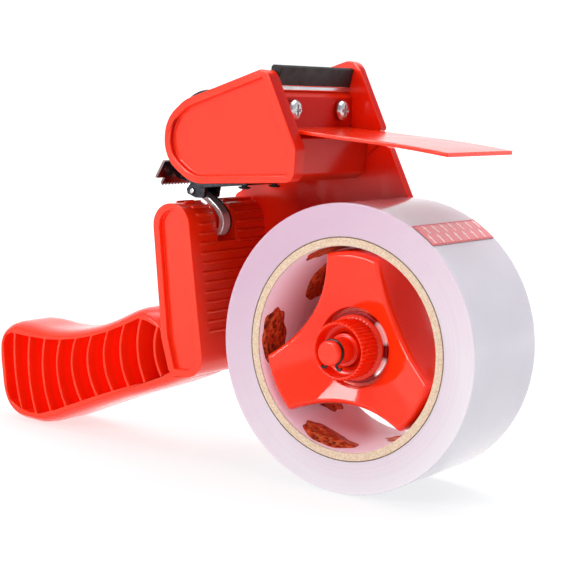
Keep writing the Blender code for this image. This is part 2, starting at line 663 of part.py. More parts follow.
def build_flap():
    low = [(x, z - FLAP_THICK) for x, z in FLAP_TOP]
    heel = (FLAP_HEEL_X, low[0][1])
    outline = [*FLAP_FLANGE, *FLAP_TOP[1:], *low[:0:-1], heel]
    flap = prism("flap", outline, *FLAP_Y)
    combine(flap, "DIFFERENCE", *(flap_screw_bore(y) for y in FLAP_SCREW_Y))
    finish(flap, "wiper_flap", "red_plastic")
    for label, y in zip(("near", "far"), FLAP_SCREW_Y):
        screw = phillips_screw(SCREW_HEAD_RADIUS, SCREW_HEAD_HEIGHT, SCREW_SHANK_RADIUS, FLAP_SCREW_LENGTH)
        turn_mesh(screw, lambda a, b, c: (a + SCREW_SEAT_X + GAP, b + y, c + FLAP_SCREW_Z))
        finish(screw, f"flap_screw_{label}", "steel")


def build_guide():
    finish(prism("bar", GUIDE_BAR, *GUIDE_BAR_Y), "guide_bar", "black_rubber")
    finish(prism("strip", GUIDE_STRIP, *GUIDE_STRIP_Y), "guide_strip", "steel")


def build_roller():
    pivot = (ROLLER_AXIS[0], 0.0, ROLLER_AXIS[1])
    low, high = ROLLER_Y
    soft = ROLLER_SOFT_EDGE
    sleeve = (
        (ROLLER_SLEEVE_BORE, low), (ROLLER_RADIUS - soft, low), (ROLLER_RADIUS, low + soft),
        (ROLLER_RADIUS, high - soft), (ROLLER_RADIUS - soft, high), (ROLLER_SLEEVE_BORE, high),
    )
    finish(lathe("sleeve", sleeve, ROLLER_AXIS, ROLLER_SEGMENTS), "roller_sleeve", "black_rubber", pivot)
    spool = ring("spool", SPOOL_BORE, SPOOL_RADIUS, SPOOL_Y, ROLLER_AXIS, ROLLER_SEGMENTS)
    finish(spool, "roller_spool", "black_plastic", pivot)
    low, high = AXLE_Y
    soft = AXLE_HEAD_SOFT
    axle = (
        (AXLE_RADIUS - AXLE_TIP_CHAMFER, low), (AXLE_RADIUS, low + AXLE_TIP_CHAMFER),
        (AXLE_RADIUS, high), (AXLE_HEAD_RADIUS, high),
        (AXLE_HEAD_RADIUS, AXLE_HEAD_Y - soft[1]), (AXLE_HEAD_RADIUS - soft[0], AXLE_HEAD_Y),
    )
    finish(turned("axle", axle, ROLLER_AXIS, AXLE_SEGMENTS), "roller_axle", "steel", pivot)


# ================================================================ blade and catch lever
def blade_teeth(reach):
    """Saw-toothed edge of the blade as (y, reach), from near to far."""
    low, high = BLADE_TOOTH_Y
    root = reach - BLADE_TOOTH_DEPTH
    teeth = []
    for k in range(round((high - low) / BLADE_TOOTH_PITCH)):
        y = low + BLADE_TOOTH_PITCH * k
        teeth += [(y, root), (y + BLADE_TOOTH_PITCH / 2, reach)]
    return [*teeth, (high, root)]


def on_blade(reach, off, y):
    """Point at a reach down from the blade's top edge, off its middle plane toward the roller."""
    along = np.array(BLADE_TIP) - np.array(BLADE_TOP)
    along /= np.linalg.norm(along)
    x, z = np.array(BLADE_TOP) + along * reach + np.array((-along[1], along[0])) * off
    return x, y, z


def along_rivet(name, profile, y):
    """Round body through the blade from a list of (radius, off)."""
    rings = []
    for radius, off in profile:
        outline = circle(radius, segments=SMALL_SEGMENTS)
        rings.append([on_blade(RIVET_REACH + u, off, y + v) for u, v in outline])
    return stack(name, rings)


def rivet_bores():
    ends = (-BLADE_THICK, BLADE_THICK + BRACKET_THICK + PAST)
    return [along_rivet("bore", [(RIVET_BORE, off) for off in ends], y) for y in RIVET_Y]


def build_blade():
    length = math.dist(BLADE_TOP, BLADE_TIP)
    near, far = BLADE_EAR_Y
    ear_low = length * BLADE_EAR_LOW
    face = [
        (near, 0.0), (near, ear_low), (BLADE_TOOTH_Y[0], ear_low), *blade_teeth(length),
        (BLADE_TOOTH_Y[1], ear_low), (far, ear_low), (far, 0.0),
    ]
    sides = (BLADE_THICK / 2, -BLADE_THICK / 2)
    blade = stack("blade", [[on_blade(reach, off, y) for y, reach in face] for off in sides])
    combine(blade, "DIFFERENCE", *rivet_bores())
    finish(blade, "blade", "steel")
    outer = -BLADE_THICK / 2 - GAP
    inner = BLADE_THICK / 2 + GAP + BRACKET_THICK + GAP
    rivet = (
        (RIVET_HEAD * 0.6, outer - RIVET_HEAD_HEIGHT), (RIVET_HEAD, outer), (RIVET_RADIUS, outer),
        (RIVET_RADIUS, inner), (RIVET_HEAD, inner), (RIVET_HEAD * 0.6, inner + RIVET_HEAD_HEIGHT),
    )
    for label, y in zip(("near", "far"), RIVET_Y):
        finish(along_rivet("rivet", rivet, y), f"blade_rivet_{label}", "steel")


def build_bracket():
    off = BLADE_THICK / 2 + GAP + BRACKET_THICK / 2
    flange = [on_blade(reach, off, 0.0)[::2] for reach in (FLANGE_REACH, 0.0)]
    bracket = prism("bracket", thick_line([*BRACKET_PLATE, *flange], BRACKET_THICK), *BRACKET_Y)
    for low, high in LUG_Y:
        lug = prism("lug", BRACKET_LUG, low, high)
        hole = disc("hole", LUG_HOLE, low - PAST, high + PAST, LEVER_AXIS, SMALL_SEGMENTS)
        combine(bracket, "UNION", combine(lug, "DIFFERENCE", hole))
    combine(bracket, "DIFFERENCE", *(bracket_screw_bore(y) for y in BRACKET_SCREW_Y), *rivet_bores())
    finish(bracket, "lever_bracket", "dark_steel")
    head = (BRACKET_SCREW_HEAD, BRACKET_SCREW_HEIGHT)
    for label, y in zip(("near", "far"), BRACKET_SCREW_Y):
        screw = phillips_screw(*head, BRACKET_SCREW_SHANK, BRACKET_SCREW_LENGTH, SMALL_SEGMENTS)
        turn_mesh(screw, lambda a, b, c: (c + BRACKET_SCREW_X, b + y, BRACKET_SCREW_Z - a))
        finish(screw, f"bracket_screw_{label}", "steel")


def build_lever():
    pivot = (LEVER_AXIS[0], sum(LEVER_Y) / 2, LEVER_AXIS[1])
    low, high = LEVER_Y
    strip = prism("lever", thick_line(smooth_open(LEVER_PATH), LEVER_THICK), low, high)
    combine(strip, "UNION", disc("eye", LEVER_EYE, low, high, LEVER_AXIS, SMALL_SEGMENTS))
    hole = disc("hole", LEVER_PIN_RADIUS + GAP, low - PAST, high + PAST, LEVER_AXIS, SMALL_SEGMENTS)
    combine(strip, "DIFFERENCE", hole)
    finish(strip, "catch_lever", "dark_steel", pivot)
    pin = disc("pin", LEVER_PIN_RADIUS, *LEVER_PIN_Y, LEVER_AXIS, SMALL_SEGMENTS)
    finish(pin, "lever_pin", "steel")


# ================================================================ hub and its brake
def lobe_outline(radius, waist):
    """Three lobes joined by hollow circular sides, as (x, z) from the axle."""
    side = math.radians(60.0 - LOBE_HALF_ANGLE)
    reach = (radius**2 - waist**2) / (2.0 * (radius * math.cos(side) - waist))
    hollow = reach - waist
    spread = math.atan2(radius * math.sin(side), reach - radius * math.cos(side))
    outline = []
    for centre in LOBE_CENTRES:
        for k in range(LOBE_STEPS + 1):
            angle = math.radians(centre + LOBE_HALF_ANGLE * (2 * k / LOBE_STEPS - 1))
            outline.append((radius * math.cos(angle), radius * math.sin(angle)))
        middle = math.radians(centre + 60.0)
        cosine, sine = math.cos(middle), math.sin(middle)
        for k in range(1, WAIST_STEPS):
            swing = spread * (1 - 2 * k / WAIST_STEPS)
            out, across = reach - hollow * math.cos(swing), -hollow * math.sin(swing)
            outline.append((out * cosine - across * sine, out * sine + across * cosine))
    return outline


def hub_face_y(x, z):
    return HUB_FRONT + HUB_FACE_SLOPE * max(0.0, HUB_FACE_RADIUS - math.hypot(x, z))


def hub_rings(outer):
    """Rings of the hub's outside, from the recess out over the front face and back to its rear."""
    edge = inset(outer, HUB_ROUND[0][1])
    rings = []
    for part in (0.0, 0.5):
        ring_points = []
        for x, z in edge:
            shrink = (RECESS_RADIUS - HUB_CENTRE_INSET) / math.hypot(x, z)
            scale = shrink + (1.0 - shrink) * part
            ring_points.append((x * scale, hub_face_y(x * scale, z * scale), AXLE_Z + z * scale))
        rings.append(ring_points)
    for depth, distance in HUB_ROUND:
        pairs = zip(inset(outer, distance), edge)
        rings.append([(x, hub_face_y(*front) + depth, AXLE_Z + z) for (x, z), front in pairs])
    rings.append([(x, HUB_BACK, AXLE_Z + z) for x, z in outer])
    return rings


def build_hub():
    centre = (0.0, AXLE_Z)
    outer = lobe_outline(LOBE_RADIUS, WAIST_RADIUS)
    hub = stack("hub", hub_rings(outer))
    lip = [(x, AXLE_Z + z) for x, z in lobe_outline(HUB_LIP_RADIUS, WAIST_RADIUS)]
    room = [(x, AXLE_Z + z) for x, z in inset(outer, HUB_WALL + HUB_ROUND[-1][1])]
    front = HUB_FRONT - PAST
    combine(hub, "UNION", prism("lip", lip, HUB_LIP_FRONT, HUB_LIP_BACK))
    combine(hub, "DIFFERENCE", prism("room", room, HUB_ROOM_Y, HUB_LIP_BACK + PAST))
    combine(hub, "UNION", disc("recess_wall", RECESS_WALL_RADIUS, *RECESS_WALL_Y, centre))
    combine(hub, "UNION", disc("centre_boss", BOSS_RADIUS, RECESS_WALL_Y[0], BOSS_BACK, centre))
    combine(
        hub,
        "DIFFERENCE",
        disc("recess", RECESS_RADIUS, front, RECESS_Y, centre),
        disc("spring_bore", SPRING_BORE, front, SPRING_SEAT_Y, centre),
        disc("bore", HUB_BORE, front, BOSS_BACK + PAST, centre),
    )
    finish(hub, "hub_wheel", "red_plastic", (0.0, 0.0, AXLE_Z))


def build_post():
    centre, pivot = (0.0, AXLE_Z), (0.0, 0.0, AXLE_Z)
    half_groove = CLIP_WIRE + GROOVE_GAP
    groove = (CLIP_Y - half_groove, CLIP_Y + half_groove)
    profile = (
        (POST_TIP_RADIUS - POST_TIP_CHAMFER, POST_TIP_Y), (POST_TIP_RADIUS, POST_TIP_Y + POST_TIP_CHAMFER),
        (POST_TIP_RADIUS, groove[0]), (POST_GROOVE_RADIUS, groove[0]),
        (POST_GROOVE_RADIUS, groove[1]), (POST_TIP_RADIUS, groove[1]),
        (POST_TIP_RADIUS, POST_STEP_Y), (POST_RADIUS - POST_STEP_CHAMFER, POST_STEP_Y),
        (POST_RADIUS, POST_STEP_Y + POST_STEP_CHAMFER), (POST_RADIUS, POST_BACK_Y),
    )
    post = turned("post", profile, centre, POST_SEGMENTS)
    room_y = (POST_SCREW_TIP - 1.0, POST_BACK_Y + PAST)
    combine(post, "DIFFERENCE", disc("room", POST_SCREW_HOLE, *room_y, centre, SMALL_SEGMENTS))
    finish(post, "spindle_post", "red_plastic", pivot)


def clip_hook(tip, side):
    """Curled end of the clip, outward to one side of where the wire leaves the post."""
    return [(tip[0] + side * out, CLIP_Y, tip[2] + down) for out, down in CLIP_HOOK]


def build_clip():
    reach = POST_GROOVE_RADIUS + CLIP_WIRE + CLIP_GAP
    start, end = CLIP_ARC
    path = []
    for k in range(CLIP_STEPS + 1):
        angle = math.radians(start + (end - start) * k / CLIP_STEPS)
        path.append((reach * math.cos(angle), CLIP_Y, AXLE_Z + reach * math.sin(angle)))
    wire = [*clip_hook(path[0], 1.0), *path, *clip_hook(path[-1], -1.0)[::-1]]
    finish(swept("clip", wire, CLIP_WIRE, CLIP_SIDES), "retaining_clip", "steel", (0.0, 0.0, AXLE_Z))


def build_knob():
    centre = (0.0, AXLE_Z)
    outline = []
    for k, (x, z) in enumerate(circle(1.0, segments=KNURLS * 4)):
        reach = KNOB_RADIUS - (KNURL_DEPTH if k % 4 in (2, 3) else 0.0)
        outline.append((reach * x, AXLE_Z + reach * z))
    knob = prism("knob", outline, KNOB_FRONT, KNOB_BACK - GAP)
    combine(knob, "UNION", disc("flange", FLANGE_RADIUS, FLANGE_FRONT, KNOB_BACK, centre))
    combine(
        knob,
        "DIFFERENCE",
        disc("cup", KNOB_CUP, KNOB_FRONT - PAST, KNOB_FLOOR, centre),
        disc("thread_bore", KNOB_BORE, KNOB_FRONT - PAST, KNOB_BACK + PAST, centre),
    )
    finish(knob, "tension_knob", "red_plastic", (0.0, 0.0, AXLE_Z))


def build_brake():
    """The washers and the spring that the knob presses."""
    centre, pivot = (0.0, AXLE_Z), (0.0, 0.0, AXLE_Z)
    pressure = ring("washer", WASHER_INNER, WASHER_OUTER, WASHER_Y, centre)
    finish(pressure, "pressure_washer", "chrome", pivot)
    steps = int(SPRING_TURNS * SPRING_STEPS_PER_TURN)
    low, high = SPRING_Y
    coil = []
    for k in range(steps + 1):
        angle = 2 * math.pi * k / SPRING_STEPS_PER_TURN
        x, z = SPRING_MEAN * math.cos(angle), SPRING_MEAN * math.sin(angle)
        coil.append((x, low + (high - low) * k / steps, AXLE_Z + z))
    finish(swept("coil", coil, SPRING_WIRE, SPRING_SIDES), "tension_spring", "steel", pivot)
    finish(ring("brake", BRAKE_INNER, BRAKE_OUTER, BRAKE_Y, centre), "brake_washer", "black_rubber", pivot)
    seat = ring("seat", POST_SCREW_HOLE, POST_WASHER_RADIUS, POST_WASHER_Y, centre, POST_SEGMENTS)
    finish(seat, "spindle_washer", "steel", pivot)


def far_side_screw(name, axis, seat_y, head, shank_radius, tip_y):
    """Phillips screw driven from the far side, along -Y; head is its (radius, height)."""
    screw = phillips_screw(*head, shank_radius, seat_y - tip_y)
    turn_mesh(screw, lambda a, b, c: (b + axis[0], a + seat_y, c + axis[1]))
    finish(screw, name, "steel", (axis[0], seat_y, axis[1]))


def build_far_screws():
    seat, top = POST_SCREW_Y
    head = (POST_SCREW_RADIUS, top - seat)
    far_side_screw("spindle_screw", (0.0, AXLE_Z), seat, head, POST_SCREW_SHANK, POST_SCREW_TIP)
    head = (HEAD_SCREW_RADIUS, HEAD_SCREW_HEIGHT)
    for label, axis in zip(("front", "rear"), HEAD_SCREW_AT):
        seat = PLATE_Y[1] + GAP
        far_side_screw(f"head_screw_{label}", axis, seat, head, SCREW_SHANK_RADIUS, HEAD_SCREW_TIP)


# ================================================================ roll of tape
def build_roll():
    centre = (0.0, AXLE_Z)
    pivot = (0.0, TAPE_WIDTH / 2, AXLE_Z)
    core = ring("core", CORE_INNER, CORE_OUTER, (0.0, TAPE_WIDTH), centre, CORE_SEGMENTS)
    finish(core, "tape_core", "cardboard", pivot)
    soft = ROLL_SOFT_EDGE
    winding = (
        (WINDING_BORE, 0.0), (ROLL_RADIUS - soft, 0.0), (ROLL_RADIUS, soft),
        (ROLL_RADIUS, TAPE_WIDTH - soft), (ROLL_RADIUS - soft, TAPE_WIDTH), (WINDING_BORE, TAPE_WIDTH),
    )
    finish(lathe("winding", winding, centre, ROLL_SEGMENTS), "tape_winding", "clear_tape", pivot)
    outline = []
    low, high = TAB_ANGLES
    for radius, order in zip(TAB_RADII, (range(TAB_STEPS + 1), range(TAB_STEPS, -1, -1))):
        for k in order:
            angle = math.radians(low + (high - low) * k / TAB_STEPS)
            outline.append((radius * math.cos(angle), AXLE_Z + radius * math.sin(angle)))
    finish(prism("tab", outline, *TAB_Y), "starter_tab", "tab_film", pivot)


def main():
    clear_scene()
    build_frame()
    build_head_shell()
    build_flap()
    build_guide()
    build_roller()
    build_blade()
    build_bracket()
    build_lever()
    build_hub()
    build_post()
    build_clip()
    build_knob()
    build_brake()
    build_far_screws()
    build_roll()


main()
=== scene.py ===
"""Looks for the packing tape dispenser gun: finished surfaces, printed details, studio and camera.

The frame's axes: X from the handle to the tape roll, Y along the roll's axle away from the open
side, Z up. Lengths named *_MM are millimetres; everything else is in metres.
"""

import json
import math

import bmesh
import bpy
from mathutils import Matrix, Vector, noise


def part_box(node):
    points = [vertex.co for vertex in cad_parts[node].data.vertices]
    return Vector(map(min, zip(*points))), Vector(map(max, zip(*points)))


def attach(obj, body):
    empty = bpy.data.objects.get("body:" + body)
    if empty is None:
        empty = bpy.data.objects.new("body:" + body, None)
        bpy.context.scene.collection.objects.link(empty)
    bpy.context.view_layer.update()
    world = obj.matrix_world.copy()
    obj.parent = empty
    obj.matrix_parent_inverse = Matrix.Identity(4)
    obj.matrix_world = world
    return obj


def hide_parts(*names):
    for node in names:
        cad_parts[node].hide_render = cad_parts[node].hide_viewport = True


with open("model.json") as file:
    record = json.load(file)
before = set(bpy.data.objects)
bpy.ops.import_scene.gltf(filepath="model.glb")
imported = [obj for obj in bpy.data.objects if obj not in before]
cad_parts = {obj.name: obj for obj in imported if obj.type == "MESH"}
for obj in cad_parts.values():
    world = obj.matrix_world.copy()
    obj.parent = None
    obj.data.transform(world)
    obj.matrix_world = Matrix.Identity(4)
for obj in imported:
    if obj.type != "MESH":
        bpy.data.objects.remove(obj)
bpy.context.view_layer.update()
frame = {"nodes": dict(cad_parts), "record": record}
MM = 0.001

# ---------------------------------------------------------------- sizes
# The roll's axle and rims, read from the model.
core_low, core_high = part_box("tape_core")
roll_low, roll_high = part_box("tape_winding")
AXLE_X = (core_low.x + core_high.x) / 2
AXLE_Z = (core_low.z + core_high.z) / 2
ROLL_FRONT, ROLL_BACK = core_low.y, core_high.y
ROLL_RADIUS = (roll_high.x - roll_low.x) / 2
CORE_RADIUS = (core_high.x - core_low.x) / 2
CORE_WALL_MM = 3.0
BORE_RADIUS = CORE_RADIUS - CORE_WALL_MM * MM

# Softened edges of the CAD nodes; 0 keeps a node's edges as they are.
EDGES_MM = {
    "frame": 0.25, "head_shell": 0.4, "hub_wheel": 0.3, "wiper_flap": 0.3,
    "spindle_post": 0.35, "guide_bar": 0.35, "guide_strip": 0.15, "roller_sleeve": 0.3,
    "roller_spool": 0.2, "roller_axle": 0.2, "blade": 0.12, "lever_bracket": 0.2,
    "catch_lever": 0.3, "lever_pin": 0.15, "pressure_washer": 0.2, "brake_washer": 0.2,
    "spindle_washer": 0.15, "retaining_clip": 0.0, "tension_spring": 0.0, "blade_rivet_near": 0.1,
    "blade_rivet_far": 0.1, "tape_core": 0.25, "tape_winding": 0.15, "starter_tab": 0.0,
}
SCREW_EDGE_MM = 0.12
BEVEL_ANGLE_DEG, BEVEL_SEGMENTS = 32.0, 2
WELD = 2e-6
FLAT_WEIGHT, NODE_FLAT_WEIGHT = 50, 80

# Rounded ribs of the grip: (x, z) at the top and bottom of its side, and an arc of ribs over the column.
GRIP_TOP, GRIP_LOW = (-0.013191, 0.0905), (-0.004691, 0.042)
GRIP_RIB_TOP_Z, GRIP_RIB_STEP = 0.0919, 0.00377
GRIP_RIBS = 12
GRIP_RIB_Y = (-0.01805, 0.02585)
GRIP_SLOT_Y = (-0.00755, 0.00725)
GRIP_SLOT_BOTTOM = 0.0843
GRIP_ARC_CENTRE, GRIP_ARC_RADIUS = (-0.022091, 0.091), 0.0086
GRIP_ARC_DEG = (31.1, 56.3, 81.4, 107.0)
GRIP_RIB_HALF, GRIP_RIB_PROUD = 0.72 * MM, 0.95 * MM
GRIP_RIB_SIDES, GRIP_RIB_CAP, TIP_SHARE = 12, 4, 1e-6

# Knob: (radius, y behind its front face, share of the knurls' depth), with a dished front round the post.
KNURLS, KNURL_STEPS, KNURL_DEPTH_MM = 44, 6, 0.85
KNOB_MM = (
    (6.55, 5.6, 0.0), (9.0, 5.55, 0.0), (9.4, 5.1, 0.0), (9.55, 4.4, 0.0), (9.55, 1.0, 0.0),
    (9.75, 0.3, 0.0), (10.2, 0.02, 0.1), (10.6, 0.15, 0.5), (10.9, 0.6, 0.9), (11.0, 1.2, 1.0),
    (11.0, 10.3, 1.0), (11.0, 10.5, 0.0), (12.0, 10.7, 0.0), (12.3, 11.1, 0.0), (12.3, 12.1, 0.0),
    (12.0, 12.38, 0.0), (6.55, 12.38, 0.0),
)

# Starter tab and its two staggered rows of small arrows.
TAB_LOW_DEG = 51.0
TAB_RADIUS = 54.1 * MM
ARROWS, ARROW_PITCH_MM = 7, 6.3
ARROW_ROWS_MM = (0.9, 5.9)
ARROW_FIRST_MM, ARROW_STAGGER_MM = 3.0, 3.0
ARROW_EDGE_MM = 1.6
ARROW_MM = ((-0.38, 0.0), (0.38, 0.0), (0.38, 2.7), (0.95, 2.4), (0.0, 4.6), (-0.95, 2.4), (-0.38, 2.7))
TAB_ARC_MM = 10.9
TAB_LINE_MM, TAB_LINE_INSET_MM, TAB_LINE_END_MM = 0.45, 0.15, 0.2

# Printed patches of the core's liner, in two rows along the bore.
PRINTS, PRINT_STEP_DEG = 5, 72.0
PRINT_ROWS = ((182.0, 10.0), (146.0, 33.0))
PRINT_HALF_ARC_MM, PRINT_HALF_WIDTH_MM = 11.8, 8.2
PRINT_POINTS = 48

# Liner, glue line and prints: distances from the core's faces, and radii from its bore or its rim.
LINER_SETBACK_MM, LINER_SKINS_MM = 0.5, (0.01, 0.12)
GLUE_SETBACK_MM, GLUE_UNDER_MM, GLUE_OVER_MM = 0.1, 0.05, 0.4
LINER_STEPS, GLUE_STEPS = 128, 112
PRINT_SKINS_MM = (0.1, 0.17)
TAB_PRINT_UNDER_MM, TAB_PRINT_OVER_MM = 0.02, 0.05
LINER_LIT_DEPTH = 0.03

# Where a look changes on a piece, for painted shade, a painted glow and a painted dark reflection: (starts,
# full) along one axis of the frame.
PLATE_SHADE_X, PLATE_SHADE_Y, PLATE_SHADE_Z = (-0.012, 0.004), (0.02, 0.024), (0.1, 0.128)
PLATE_EDGE_Y = (0.0268, 0.0275)
WALL_SHADE_X, WALL_SHADE_Z = (0.042, 0.045), (0.112, 0.132)
POCKETS_X, POCKETS_Y, POCKETS_Z = (-0.03, -0.045), (-0.0212, -0.0185), (0.072, 0.062)
LEVER_DARK_REFLECTION_Y = (-0.0016, -0.0011)
# Painted highlight arcs of the washer in radians: middle, and how far from it the arc is full and has faded.
WASHER_HIGHLIGHT_ARCS = ((0.55, 0.26, 0.38), (-0.5, 0.2, 0.34))

# Studio.
FLOOR_HALF, FLOOR_DROP, FLOOR_FADE = 30.0, 0.0002, (0.2, 1.0)
KEY_AT, KEY_SIZE, KEY_WATTS = (-0.585, -1.295, 0.519), (0.5, 0.55), 13.0
OVERHEAD_AT, OVERHEAD_SIZE, OVERHEAD_WATTS = (0.1, 0.25, 1.1), (1.3, 0.9), 10.0
WORLD_LEVEL, WORLD_SLOPES = 0.6, (("Y", 0.3), ("X", -0.14), ("Z", 0.16))
HORIZON_GLOW, HORIZON_HEIGHT = 0.3, 0.3
CAMERA_AT = (0.360875, -0.510249, 0.156588)
CAMERA_RIGHT = Vector((0.82437639, 0.56352605, 0.05331003))
CAMERA_UP = Vector((-0.12296053, 0.08635079, 0.98864769))
CAMERA_BACK = Vector((0.55252536, -0.82157284, 0.14047701))
CAMERA_LENS = 99.55


# ---------------------------------------------------------------- node materials
class Look:
    """A procedural material: short calls that add nodes and return their outputs."""

    def __init__(self, name):
        self.material = bpy.data.materials.new(name)
        self.material.use_nodes = True
        self.tree = self.material.node_tree
        self.shader = self.tree.nodes["Principled BSDF"]
        self.coords = self.tree.nodes.new("ShaderNodeTexCoord")

    def link(self, output, socket):
        self.tree.links.new(output, socket)

    def put(self, value, socket):
        if isinstance(value, bpy.types.NodeSocket):
            self.link(value, socket)
        else:
            socket.default_value = value

    def set(self, **values):
        """Sets or links the shader's inputs by their names in lower case."""
        for name, value in values.items():
            socket = self.shader.inputs[name.replace("_", " ").title().replace("Ior", "IOR")]
            self.put(value, socket)

    def noise(self, scale, detail=3.0, roughness=0.55, vector=None, distortion=0.0):
        node = self.tree.nodes.new("ShaderNodeTexNoise")
        self.link(vector or self.coords.outputs["Object"], node.inputs["Vector"])
        node.inputs["Scale"].default_value = scale
        node.inputs["Detail"].default_value = detail
        node.inputs["Roughness"].default_value = roughness
        node.inputs["Distortion"].default_value = distortion
        return node.outputs["Fac"]

    def cells(self, scale):
        node = self.tree.nodes.new("ShaderNodeTexVoronoi")
        self.link(self.coords.outputs["Object"], node.inputs["Vector"])
        node.inputs["Scale"].default_value = scale
        return node.outputs["Distance"]

    def stretched(self, scale, rotation=(0.0, 0.0, 0.0)):
        """Coordinates for a pattern that is drawn out along one direction."""
        node = self.tree.nodes.new("ShaderNodeMapping")
        self.link(self.coords.outputs["Object"], node.inputs["Vector"])
        node.inputs["Scale"].default_value = scale
        node.inputs["Rotation"].default_value = rotation
        return node.outputs["Vector"]

    def math(self, operation, a, b=0.0):
        node = self.tree.nodes.new("ShaderNodeMath")
        node.operation = operation
        self.put(a, node.inputs[0])
        self.put(b, node.inputs[1])
        return node.outputs[0]

    def product(self, *factors):
        total = factors[0]
        for factor in factors[1:]:
            total = self.math("MULTIPLY", total, factor)
        return total

    def axis(self, name):
        node = self.tree.nodes.new("ShaderNodeSeparateXYZ")
        self.link(self.coords.outputs["Object"], node.inputs[0])
        return node.outputs[name]

    def facing(self, name):
        """One component of the surface's own direction."""
        node = self.tree.nodes.new("ShaderNodeSeparateXYZ")
        self.link(self.coords.outputs["Normal"], node.inputs[0])
        return node.outputs[name]

    def range(self, value, low, high, to_low=0.0, to_high=1.0):
        """Value carried from low..high to to_low..to_high, and held at both ends."""
        node = self.tree.nodes.new("ShaderNodeMapRange")
        self.put(value, node.inputs["Value"])
        node.inputs["From Min"].default_value = low
        node.inputs["From Max"].default_value = high
        node.inputs["To Min"].default_value = to_low
        node.inputs["To Max"].default_value = to_high
        return node.outputs["Result"]

    def mix(self, factor, a, b, kind="RGBA"):
        node = self.tree.nodes.new("ShaderNodeMix")
        node.data_type = kind
        live = [socket for socket in node.inputs if socket.enabled]
        for value, socket in zip((factor, a, b), live):
            self.put(value, socket)
        return next(socket for socket in node.outputs if socket.enabled)

    def mix_value(self, factor, a, b):
        return self.mix(factor, a, b, "FLOAT")

    def bump(self, height, strength, distance):
        node = self.tree.nodes.new("ShaderNodeBump")
        self.link(height, node.inputs["Height"])
        node.inputs["Strength"].default_value = strength
        node.inputs["Distance"].default_value = distance
        return node.outputs["Normal"]

    def across_axle(self):
        """Position across the roll's axle, as X and Z measured from it."""
        x = self.math("SUBTRACT", self.axis("X"), AXLE_X)
        z = self.math("SUBTRACT", self.axis("Z"), AXLE_Z)
        return x, z

    def radius(self):
        """Distance from the roll's axle."""
        x, z = self.across_axle()
        squares = self.math("ADD", self.math("MULTIPLY", x, x), self.math("MULTIPLY", z, z))
        return self.math("SQRT", squares)

    def angle(self):
        """Angle around the roll's axle in radians, 0 along +X and positive upward."""
        x, z = self.across_axle()
        return self.math("ARCTAN2", z, x)

    def rings(self, per_metre, detail, roughness):
        """Noise that changes only with the distance from the roll's axle."""
        node = self.tree.nodes.new("ShaderNodeCombineXYZ")
        self.link(self.math("MULTIPLY", self.radius(), per_metre), node.inputs["X"])
        return self.noise(1.0, detail, roughness, node.outputs[0])


def rgb(*channels):
    """Linear colour from 0-255 screen values."""
    made = []
    for c in channels:
        c /= 255.0
        made.append(c / 12.92 if c <= 0.04045 else ((c + 0.055) / 1.055) ** 2.4)
    return (*made, 1.0)


def red_plastic(name="red_plastic", rough=0.17, shade=None, glow=None, reflection_streaks=False):
    """Glossy moulded plastic that lets a little red light through.

    shade(look) marks where shade is painted in: a deep red colour with the gloss taken away, and if asked
    for, streaks of gloss that stand in for faint reflections;
    glow(look) marks where a painted red glow stands in for light coming through thin walls.
    """
    look = Look(name)
    flow = look.noise(14.0, 3.0, 0.5, distortion=0.4)
    tone = look.mix(look.range(flow, 0.35, 0.7), (0.97, 0.030, 0.004, 1.0), (0.93, 0.025, 0.003, 1.0))
    gloss = 0.72
    if shade:
        dark = shade(look)
        matt = 0.0
        if reflection_streaks:
            # Streaks of gloss that stand in for faint reflections inside the painted shade.
            reflected_streak = look.noise(1.0, 2.0, 0.5, look.stretched((150.0, 260.0, 18.0), rotation=(0.0, 0.6, 0.0)))
            matt = look.range(reflected_streak, 0.45, 0.7, 0.0, 0.5)
        # Painted shade: a deep red colour and little gloss where shade(look) marks.
        tone = look.mix(dark, tone, (0.42, 0.006, 0.003, 1.0))
        gloss = look.mix_value(dark, gloss, matt)
    grain = look.noise(90.0, 2.0)
    look.set(base_color=tone, roughness=look.range(grain, 0.3, 0.7, rough, rough + 0.1))
    look.set(normal=look.bump(look.noise(26.0, 1.0), 0.05, 0.002))
    look.set(subsurface_weight=0.4, subsurface_radius=(0.009, 0.0009, 0.0004), subsurface_scale=1.0)
    look.set(coat_weight=gloss, coat_roughness=rough, coat_ior=1.5, ior=1.45, specular_ior_level=0.06)
    # Painted red glow where glow(look) marks, standing in for light coming through thin walls.
    if glow:
        look.set(emission_color=(1.0, 0.02, 0.005, 1.0), emission_strength=glow(look))
    return look.material


def plate_painted_shade(look):
    """Painted shade on the far plate's inner side below the head, and on its edge that faces the roll."""
    inward = look.range(look.facing("Y"), -0.9, -0.6, 1.0, 0.0)
    inner = look.range(look.axis("Y"), *PLATE_SHADE_Y)
    below = look.range(look.axis("Z"), *PLATE_SHADE_Z, 1.0, 0.0)
    forward = look.range(look.axis("X"), *PLATE_SHADE_X)
    edge = look.range(look.facing("X"), 0.6, 0.8)
    outer = look.range(look.axis("Y"), *PLATE_EDGE_Y)
    side = look.product(inward, inner, below, forward)
    return look.math("MAXIMUM", side, look.product(edge, outer, forward, 0.95))


def pocket_painted_glow(look):
    """A painted red glow in the pockets between the handle's ribs, standing in for light coming through their
    thin walls.
    """
    back = look.range(look.axis("X"), *POCKETS_X)
    below = look.range(look.axis("Z"), *POCKETS_Z)
    inside = look.range(look.axis("Y"), *POCKETS_Y)
    return look.product(back, below, inside, 0.12)


def wall_painted_shade(look):
    """Painted shade on the walls of the head that face the roll, deeper toward the top."""
    front = look.range(look.facing("X"), 0.6, 0.85)
    behind = look.range(look.axis("X"), *WALL_SHADE_X, 1.0, 0.0)
    above = look.range(look.axis("Z"), *WALL_SHADE_Z, 0.4, 0.95)
    return look.product(front, behind, above)


